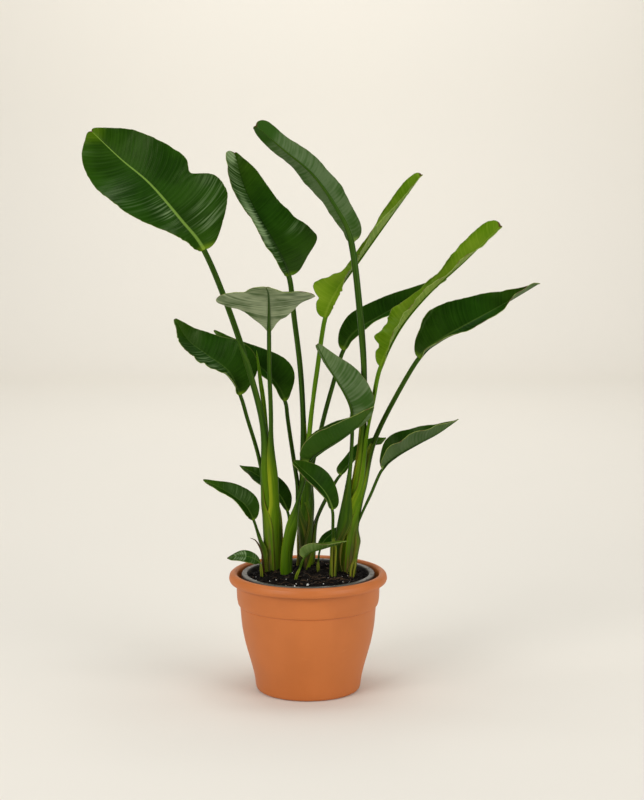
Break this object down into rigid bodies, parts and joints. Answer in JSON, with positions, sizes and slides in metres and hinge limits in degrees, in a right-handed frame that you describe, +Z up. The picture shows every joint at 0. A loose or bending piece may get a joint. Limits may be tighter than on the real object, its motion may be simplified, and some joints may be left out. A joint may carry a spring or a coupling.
{
  "type": "potted bird of paradise plant",
  "caption": "Tall house plant with large paddle-shaped leaves on channelled stalks, in a grey nursery pot of soil inside a terracotta-coloured plastic pot.",
  "frame": {"origin": "centre of the outer pot's underside, on the surface that the pot stands on", "axes": "+Z up along the pot's axis; the picture looks along +Y, with +X to its right"},
  "size_m": [0.7113, 0.2796, 0.8939],
  "materials": {
    "leaf": "living leaf, waxy satin",
    "young_leaf": "young living leaf, lime green, waxy satin",
    "dry_leaf": "dead, papery",
    "terracotta_plastic": "satin, moulded",
    "grey_plastic": "satin, thin wall, soil-stained",
    "soil": "moist potting mix with bark and perlite"
  },
  "bodies": {
    "root": {"left_spear": "young_leaf", "left_leaf_1": "leaf", "left_leaf_2": "leaf", "left_leaf_3": "leaf", "left_leaf_4": "leaf", "middle_leaf_1": "leaf", "middle_leaf_2": "young_leaf", "middle_leaf_3": "leaf", "middle_leaf_4": "leaf", "middle_leaf_5": "leaf", "right_leaf_1": "leaf", "right_leaf_2": "young_leaf", "right_leaf_3": "leaf", "right_leaf_4": "leaf", "right_leaf_5": "leaf", "small_middle_leaf_1": "leaf", "small_middle_leaf_2": "leaf", "small_right_leaf": "leaf", "low_left_leaf": "leaf", "low_back_leaf": "leaf", "low_front_leaf": "young_leaf", "new_sprout": "young_leaf", "dry_sheath_tip": "dry_leaf", "outer_pot": "terracotta_plastic", "nursery_pot": "grey_plastic", "soil": "soil"}
  },
  "joints": []
}
